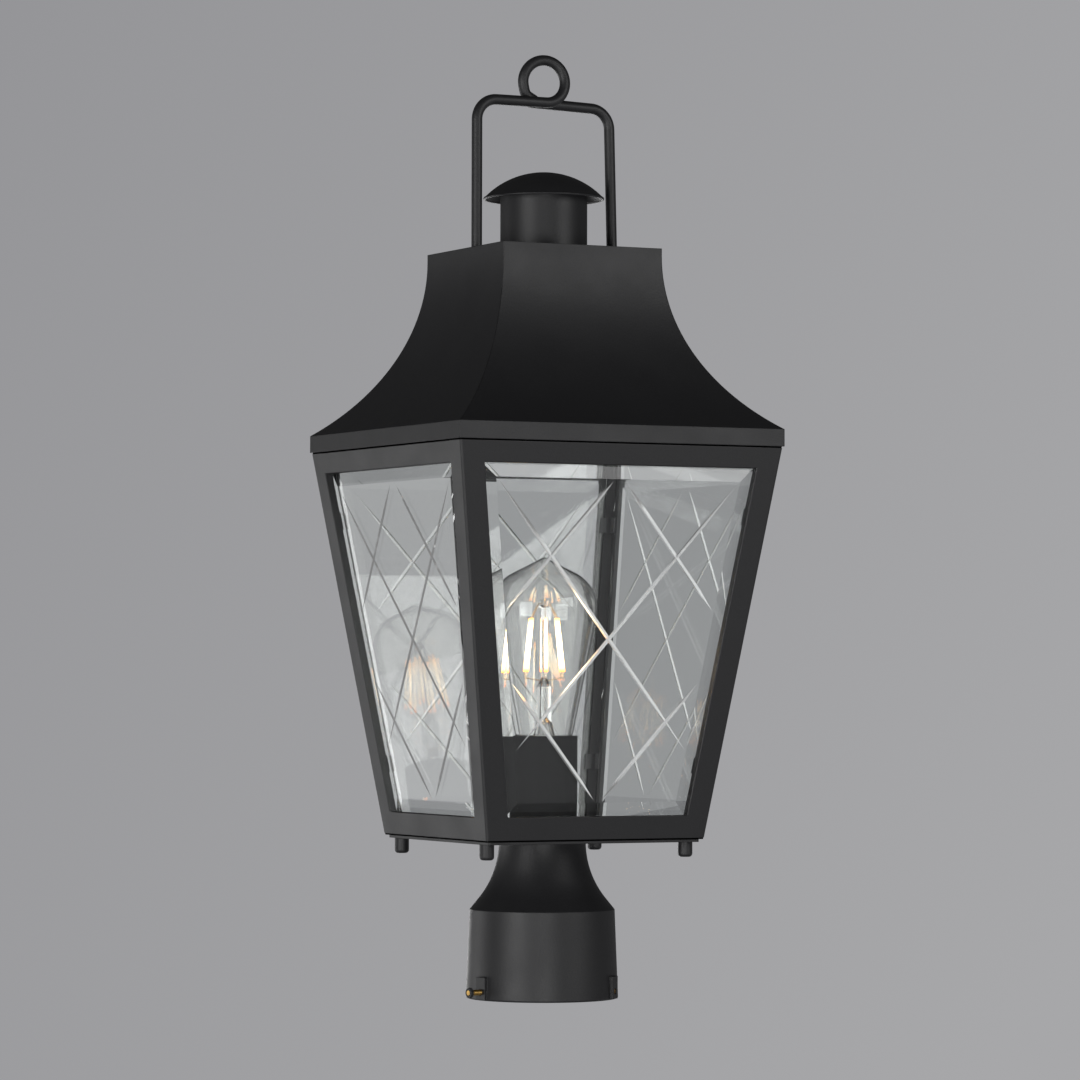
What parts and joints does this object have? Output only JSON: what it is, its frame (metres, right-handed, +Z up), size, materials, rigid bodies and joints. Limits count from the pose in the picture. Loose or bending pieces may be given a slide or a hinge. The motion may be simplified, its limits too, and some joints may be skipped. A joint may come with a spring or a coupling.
{
  "type": "post top lantern",
  "caption": "Black post top lantern: tapered cage with bevelled, cut-lattice glass panes, flared square roof, domed chimney, looped rod handle, lit bulb and a screw-clamped post fitter.",
  "frame": {"origin": "centre of the fitter's open foot, where the post goes in, so the whole lantern is above z = 0", "axes": "+Z is up along the lantern's axis; the front pane faces -Y and the right-hand pane +X; metres"},
  "size_m": [0.2006, 0.2006, 0.5346],
  "materials": {
    "black_powder_coat": "satin black powder coat over sheet steel and cast alloy",
    "socket_sleeve_black": "smooth black moulded sleeve",
    "screw_brass": "turned brass, a little tarnished",
    "zinc_plated_steel": "bright zinc plate",
    "clear_glass": "clear plate glass, ground and polished bevels and cuts",
    "bulb_clear_glass": "clear blown glass",
    "socket_insulator": "moulded black insulator",
    "contact_brass": "bright stamped brass",
    "bulb_cap_metal": "thin drawn brass with rolled rings",
    "bulb_black_glass": "fused black insulating glass",
    "filament_phosphor": "yellow phosphor coating, lit",
    "lead_wire": "fine drawn wire"
  },
  "bodies": {
    "base": {"post_fitter": "black_powder_coat", "base_plate": "black_powder_coat", "socket_strap": "zinc_plated_steel", "strap_screws": "zinc_plated_steel", "strap_nuts": "zinc_plated_steel", "threaded_nipple": "zinc_plated_steel", "fitter_lock_nut": "zinc_plated_steel", "strap_lock_nut": "zinc_plated_steel", "socket_sleeve": "socket_sleeve_black", "socket_body": "socket_insulator", "socket_screw_shell": "contact_brass", "socket_contact": "contact_brass"},
    "cage": {"corner_post_back_right": "black_powder_coat", "corner_post_back_left": "black_powder_coat", "corner_post_front_left": "black_powder_coat", "corner_post_front_right": "black_powder_coat", "bottom_rail_front": "black_powder_coat", "bottom_rail_right": "black_powder_coat", "bottom_rail_back": "black_powder_coat", "bottom_rail_left": "black_powder_coat", "top_rail_front": "black_powder_coat", "top_rail_right": "black_powder_coat", "top_rail_back": "black_powder_coat", "top_rail_left": "black_powder_coat", "glass_pane_front": "clear_glass", "glass_pane_right": "clear_glass", "glass_pane_back": "clear_glass", "glass_pane_left": "clear_glass", "roof_panel_front": "black_powder_coat", "roof_panel_right": "black_powder_coat", "roof_panel_back": "black_powder_coat", "roof_panel_left": "black_powder_coat", "glass_clips": "black_powder_coat", "cage_studs": "zinc_plated_steel", "roof_top": "black_powder_coat", "roof_screws": "zinc_plated_steel", "chimney_tube": "black_powder_coat", "chimney_cap": "black_powder_coat", "cap_tie_stud": "zinc_plated_steel", "tie_washer": "zinc_plated_steel", "tie_nut": "zinc_plated_steel", "handle_rod": "black_powder_coat", "handle_nuts": "zinc_plated_steel"},
    "bulb": {"bulb_glass": "bulb_clear_glass", "bulb_screw_cap": "bulb_cap_metal", "bulb_insulator": "bulb_black_glass", "bulb_tip_contact": "bulb_cap_metal", "bulb_stem": "bulb_clear_glass", "bulb_filaments": "filament_phosphor", "bulb_support_wires": "lead_wire"},
    "set_screw_1": {"set_screw_1": "screw_brass"},
    "set_screw_2": {"set_screw_2": "screw_brass"},
    "set_screw_3": {"set_screw_3": "screw_brass"},
    "cap_nut_1": {"cap_nut_1": "black_powder_coat"},
    "cap_nut_2": {"cap_nut_2": "black_powder_coat"},
    "cap_nut_3": {"cap_nut_3": "black_powder_coat"},
    "cap_nut_4": {"cap_nut_4": "black_powder_coat"}
  },
  "joints": [
    {"name": "cage_lift", "type": "slide", "parent": "base", "child": "cage", "axis": [0, 0, 1], "range_m": [0, 0.18]},
    {"name": "bulb_unscrew", "type": "slide", "parent": "base", "child": "bulb", "axis": [0, 0, 1], "range_m": [0, 0.026]},
    {"name": "set_screw_1_drive", "type": "slide", "parent": "base", "child": "set_screw_1", "axis": [0.9781, 0.2079, 0], "range_m": [0, 0.006]},
    {"name": "set_screw_2_drive", "type": "slide", "parent": "base", "child": "set_screw_2", "axis": [-0.6691, 0.7431, 0], "range_m": [0, 0.003]},
    {"name": "set_screw_3_drive", "type": "slide", "parent": "base", "child": "set_screw_3", "axis": [-0.309, -0.9511, 0], "range_m": [0, 0.003]},
    {"name": "cap_nut_1_unscrew", "type": "slide", "parent": "base", "child": "cap_nut_1", "axis": [0, 0, -1], "range_m": [0, 0.01]},
    {"name": "cap_nut_2_unscrew", "type": "slide", "parent": "base", "child": "cap_nut_2", "axis": [0, 0, -1], "range_m": [0, 0.01]},
    {"name": "cap_nut_3_unscrew", "type": "slide", "parent": "base", "child": "cap_nut_3", "axis": [0, 0, -1], "range_m": [0, 0.01]},
    {"name": "cap_nut_4_unscrew", "type": "slide", "parent": "base", "child": "cap_nut_4", "axis": [0, 0, -1], "range_m": [0, 0.01]}
  ]
}
